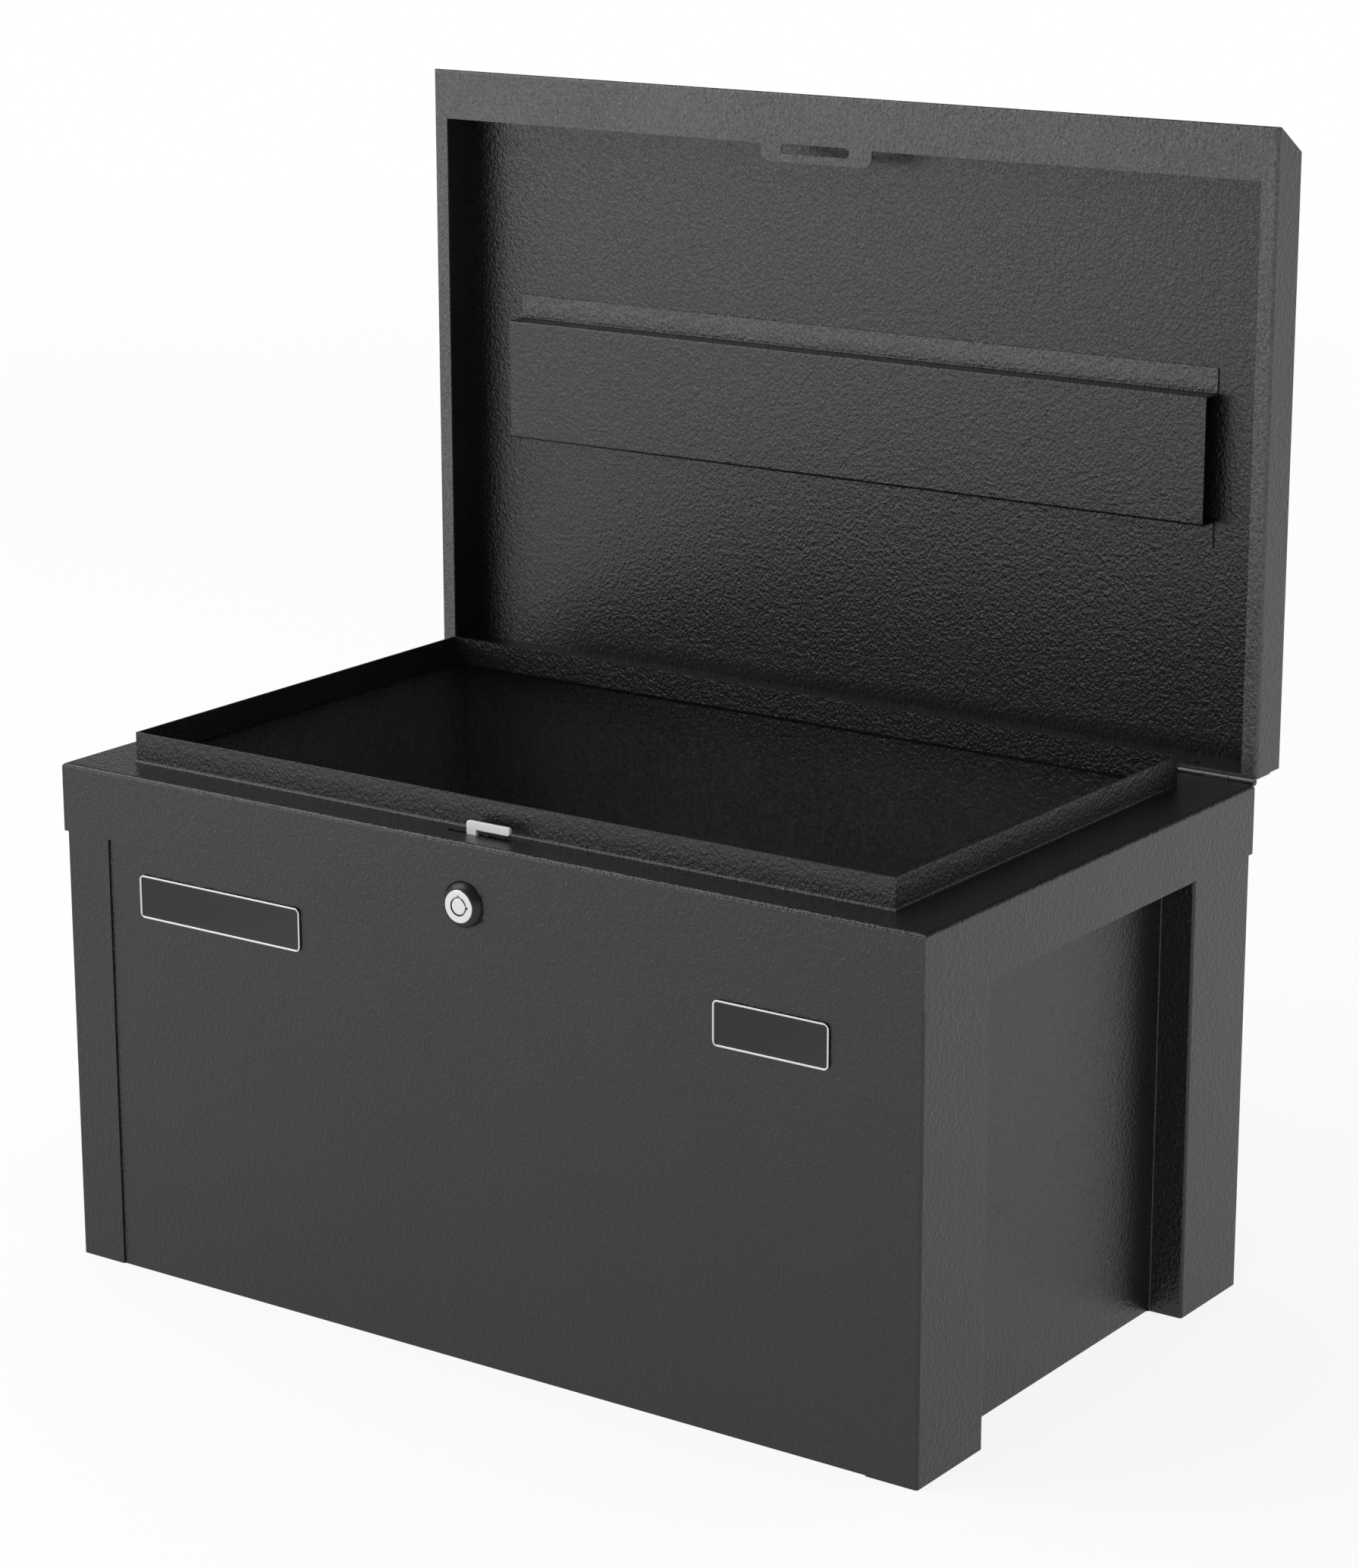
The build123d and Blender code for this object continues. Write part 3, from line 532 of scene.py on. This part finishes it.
class FitLatch(bpy.types.Operator):
    """Plates the latch's bracket and guides, and rounds the edges of its blanked slide"""
    bl_idname = "toolbox.fit_latch"
    bl_label = "Fit the latch"

    def execute(self, context):
        settings = context.scene.toolbox_hardware
        zinc = bpy.data.materials.get("bright_zinc_plate") or bright_zinc(settings)
        for name in ("latch_bracket", "latch_guides"):
            paint_node(name, zinc)
        shape = bmesh.new()
        shape.from_mesh(nodes["latch_slide"].data)
        bmesh.ops.remove_doubles(shape, verts=shape.verts, dist=1e-6)
        bmesh.ops.dissolve_limit(shape, angle_limit=math.radians(1), verts=shape.verts, edges=shape.edges)
        mesh = bpy.data.meshes.new("latch_slide_rounded")
        shape.to_mesh(mesh)
        shape.free()
        mesh.materials.append(zinc)
        smooth_by_angle(mesh, 35)
        piece = plain_piece("latch_slide_rounded", mesh, "latch", "zinc_plate", "latch_slide")
        bevel = piece.modifiers.new("edge", "BEVEL")
        bevel.width = settings.edge
        bevel.segments = 3
        bevel.limit_method = "ANGLE"
        bevel.angle_limit = math.radians(50)
        bevel.harden_normals = True
        return {"FINISHED"}


def rounded_rectangle(width, height, radius, steps=10):
    """Corner points of a rounded rectangle about the middle, anticlockwise."""
    points = []
    for x, z, first in ((1, 1, 0), (-1, 1, 90), (-1, -1, 180), (1, -1, 270)):
        for step in range(steps + 1):
            angle = math.radians(first + 90 * step / steps)
            points.append((x * (width / 2 - radius) + radius * math.cos(angle),
                           z * (height / 2 - radius) + radius * math.sin(angle)))
    return points


class FitBadges(bpy.types.Operator):
    """Makes the two bare badges, each a dark sunk field inside a bright rounded rim"""
    bl_idname = "toolbox.fit_badges"
    bl_label = "Fit the badges"

    def execute(self, context):
        settings = context.scene.toolbox_badges
        rim, field = polished_rim(settings), anodised_field(settings)
        wide, sunk, soft = settings.rim_width, settings.recess, 0.22 * MM
        for node in ("left_badge", "right_badge"):
            low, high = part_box(node)
            thick = high.y - low.y
            # From the back edge over the rim to the field: inset, depth below the rim's top, material
            section = ((0, thick, 1), (0, 2 * soft, 1), (0, soft, 0), (0.3 * soft, 0.3 * soft, 0), (soft, 0, 0),
                       (wide - 1.5 * soft, 0, 0), (wide - 0.8 * soft, 0.3 * soft, 0), (wide - 0.4 * soft, soft, 0),
                       (wide, sunk - 0.3 * soft, 0), (wide + soft, sunk, 1))
            shape = bmesh.new()
            rings = []
            for inset, depth, _ in section:
                outline = rounded_rectangle(high.x - low.x - 2 * inset, high.z - low.z - 2 * inset,
                                            settings.corner - inset)
                rings.append([shape.verts.new((x + (low.x + high.x) / 2, low.y + depth, z + (low.z + high.z) / 2))
                              for x, z in outline])
            for (outer, inner), (_, _, index) in zip(zip(rings, rings[1:]), section[1:]):
                for i in range(len(outer)):
                    j = (i + 1) % len(outer)
                    shape.faces.new((outer[i], outer[j], inner[j], inner[i])).material_index = index
            for ring in (rings[0], rings[-1]):
                shape.faces.new(ring).material_index = 1
            bmesh.ops.recalc_face_normals(shape, faces=shape.faces)
            mesh = bpy.data.meshes.new(node + "_bare")
            shape.to_mesh(mesh)
            shape.free()
            mesh.materials.append(rim)
            mesh.materials.append(field)
            smooth_by_angle(mesh, 50)
            plain_piece(node + "_bare", mesh, "box", "badge", node)
        return {"FINISHED"}


class SetStage(bpy.types.Operator):
    """Sets the pale floor, the white surroundings, two soft lights and the camera"""
    bl_idname = "toolbox.set_stage"
    bl_label = "Set the stage"

    def execute(self, context):
        settings = context.scene.toolbox_stage
        scene = context.scene
        scene.view_settings.view_transform = "Standard"

        floor_mesh = bpy.data.meshes.new("studio_floor")
        half = 14
        floor_mesh.from_pydata([(-half, -half, 0), (half, -half, 0), (half, half, 0), (-half, half, 0)],
                               [], [(0, 1, 2, 3)])
        floor = bpy.data.objects.new("studio_floor", floor_mesh)
        # Just under the box, so that the two share no plane
        floor.location.z = -0.3 * MM
        scene.collection.objects.link(floor)
        material = bpy.data.materials.new("white_studio_floor")
        material.use_nodes = True
        tree = material.node_tree
        tree.nodes.clear()
        shown = self.shown_rays(tree)
        lit = add(tree, "ShaderNodeBsdfDiffuse", {"Color": tuple(settings.floor)})
        # Gloss shows the floor darker close to the box, a painted shade, fading by the root of the distance from
        # 0.3 to 1.2 m
        spot = add(tree, "ShaderNodeTexCoord").outputs["Object"]
        away = add(tree, "ShaderNodeVectorMath", {0: spot}, operation="LENGTH")
        root = add(tree, "ShaderNodeMath", {0: away.outputs["Value"]}, operation="SQRT")
        painted_shade_rise = add(tree, "ShaderNodeMapRange", {
            "Value": root.outputs["Value"], "From Min": 0.55, "From Max": 1.1,
            "To Min": settings.near, "To Max": settings.far})
        plain = add(tree, "ShaderNodeEmission", {"Strength": self.to_gloss(tree, painted_shade_rise.outputs["Result"])})
        # The floor turns into the white background before its edge
        clear = add(tree, "ShaderNodeMapRange", {
            "Value": away.outputs["Value"], "From Min": 1.5, "From Max": 6, "To Min": 0.86, "To Max": 1})
        part = add(tree, "ShaderNodeMath", {0: shown, 1: clear.outputs["Result"]}, operation="MULTIPLY")
        mixed = add(tree, "ShaderNodeMixShader", {
            0: part.outputs["Value"], 1: lit.outputs["BSDF"], 2: plain.outputs["Emission"]})
        add(tree, "ShaderNodeOutputMaterial", {"Surface": mixed.outputs["Shader"]})
        floor_mesh.materials.append(material)

        world = bpy.data.worlds.new("white_studio")
        scene.world = world
        world.use_nodes = True
        tree = world.node_tree
        tree.nodes.clear()
        shown = self.shown_rays(tree)
        dim = add(tree, "ShaderNodeBackground", {"Color": (1, 1, 1), "Strength": settings.ambient})
        # Gloss shows the sweep pale to just above the horizon and darker overhead
        aim = add(tree, "ShaderNodeTexCoord").outputs["Generated"]
        way = add(tree, "ShaderNodeSeparateXYZ", {"Vector": aim})
        fall = add(tree, "ShaderNodeMapRange", {
            "Value": way.outputs["Z"], "From Min": 0.03, "From Max": 0.26,
            "To Min": settings.far, "To Max": settings.overhead})
        white = add(tree, "ShaderNodeBackground", {
            "Color": (1, 1, 1), "Strength": self.to_gloss(tree, fall.outputs["Result"])})
        mixed = add(tree, "ShaderNodeMixShader", {
            0: shown, 1: dim.outputs["Background"], 2: white.outputs["Background"]})
        add(tree, "ShaderNodeOutputWorld", {"Surface": mixed.outputs["Shader"]})

        # A softbox stands at the front left, where the lid mirrors its edge, and one hangs at the upper left
        target = Vector((0, 0.1, 0.5))
        for name, place, width, height, power in (
                ("key_softbox", Vector((-1.5, -2.1, 0.7)), 1.7, 0.5, settings.key),
                ("top_softbox", Vector((-1.7, -0.8, 2.2)), 2.2, 2.2, settings.top)):
            light = bpy.data.lights.new(name, "AREA")
            light.shape = "RECTANGLE"
            light.size, light.size_y = width, height
            light.energy = power
            lamp = bpy.data.objects.new(name, light)
            lamp.matrix_world = (Matrix.Translation(place)
                                 @ (target - place).to_track_quat("-Z", "Y").to_matrix().to_4x4())
            scene.collection.objects.link(lamp)

        # The camera that the photograph's straight edges give
        lens = bpy.data.cameras.new("photo_camera")
        lens.sensor_fit = "VERTICAL"
        lens.sensor_height = 36
        lens.lens = 95.93
        lens.clip_end = 100
        camera = bpy.data.objects.new("photo_camera", lens)
        right = Vector((0.816643, 0.577142, -0.001509))
        up = Vector((-0.149679, 0.214317, 0.965228))
        back = Vector((0.557397, -0.78802, 0.261406))
        turn = Matrix((right, up, back)).transposed().to_4x4()
        camera.matrix_world = Matrix.Translation((1.51041, -2.104806, 1.033824)) @ turn
        scene.collection.objects.link(camera)
        scene.camera = camera
        return {"FINISHED"}

    def to_gloss(self, tree, level):
        """White to the camera, and the level given to every other ray."""
        seen = add(tree, "ShaderNodeLightPath").outputs["Is Camera Ray"]
        return add(tree, "ShaderNodeMath", {0: seen, 1: level}, operation="MAXIMUM").outputs["Value"]

    def shown_rays(self, tree):
        """1 for the rays that show the background: to the camera, off gloss and through glass."""
        rays = add(tree, "ShaderNodeLightPath").outputs
        gloss = add(tree, "ShaderNodeMath", {
            0: rays["Is Camera Ray"], 1: rays["Is Glossy Ray"]}, operation="MAXIMUM")
        return add(tree, "ShaderNodeMath", {
            0: gloss.outputs["Value"], 1: rays["Is Transmission Ray"]}, operation="MAXIMUM").outputs["Value"]


class ToolBoxPanel(bpy.types.Panel):
    """Lists the steps that finish the tool box, with their sizes and colours"""
    bl_idname = "VIEW3D_PT_toolbox"
    bl_label = "Steel tool box"
    bl_space_type = "VIEW_3D"
    bl_region_type = "UI"
    bl_category = "Tool Box"

    def draw(self, context):
        for steps, group in (
                ((PaintSheets,), "toolbox_paint"), ((FitHinge, FitLock, FitLatch), "toolbox_hardware"),
                ((FitBadges,), "toolbox_badges"), ((SetStage,), "toolbox_stage")):
            part = self.layout.box()
            settings = getattr(context.scene, group)
            for key in settings.bl_rna.properties.keys():
                if key not in ("rna_type", "name"):
                    part.prop(settings, key)
            for step in steps:
                part.operator(step.bl_idname)


GROUPS = {
    "toolbox_paint": PaintSettings,
    "toolbox_hardware": HardwareSettings,
    "toolbox_badges": BadgeSettings,
    "toolbox_stage": StageSettings,
}
STEPS = (PaintSheets, FitHinge, FitLock, FitLatch, FitBadges, SetStage)


def register():
    for cls in (*GROUPS.values(), *STEPS, ToolBoxPanel):
        bpy.utils.register_class(cls)
    for name, cls in GROUPS.items():
        setattr(bpy.types.Scene, name, PointerProperty(type=cls))


def unregister():
    for name in GROUPS:
        delattr(bpy.types.Scene, name)
    for cls in reversed((*GROUPS.values(), *STEPS, ToolBoxPanel)):
        bpy.utils.unregister_class(cls)


def main():
    register()
    bpy.ops.toolbox.paint_sheets()
    bpy.ops.toolbox.fit_hinge()
    bpy.ops.toolbox.fit_lock()
    bpy.ops.toolbox.fit_latch()
    bpy.ops.toolbox.fit_badges()
    bpy.ops.toolbox.set_stage()


if __name__ == "__main__":
    main()
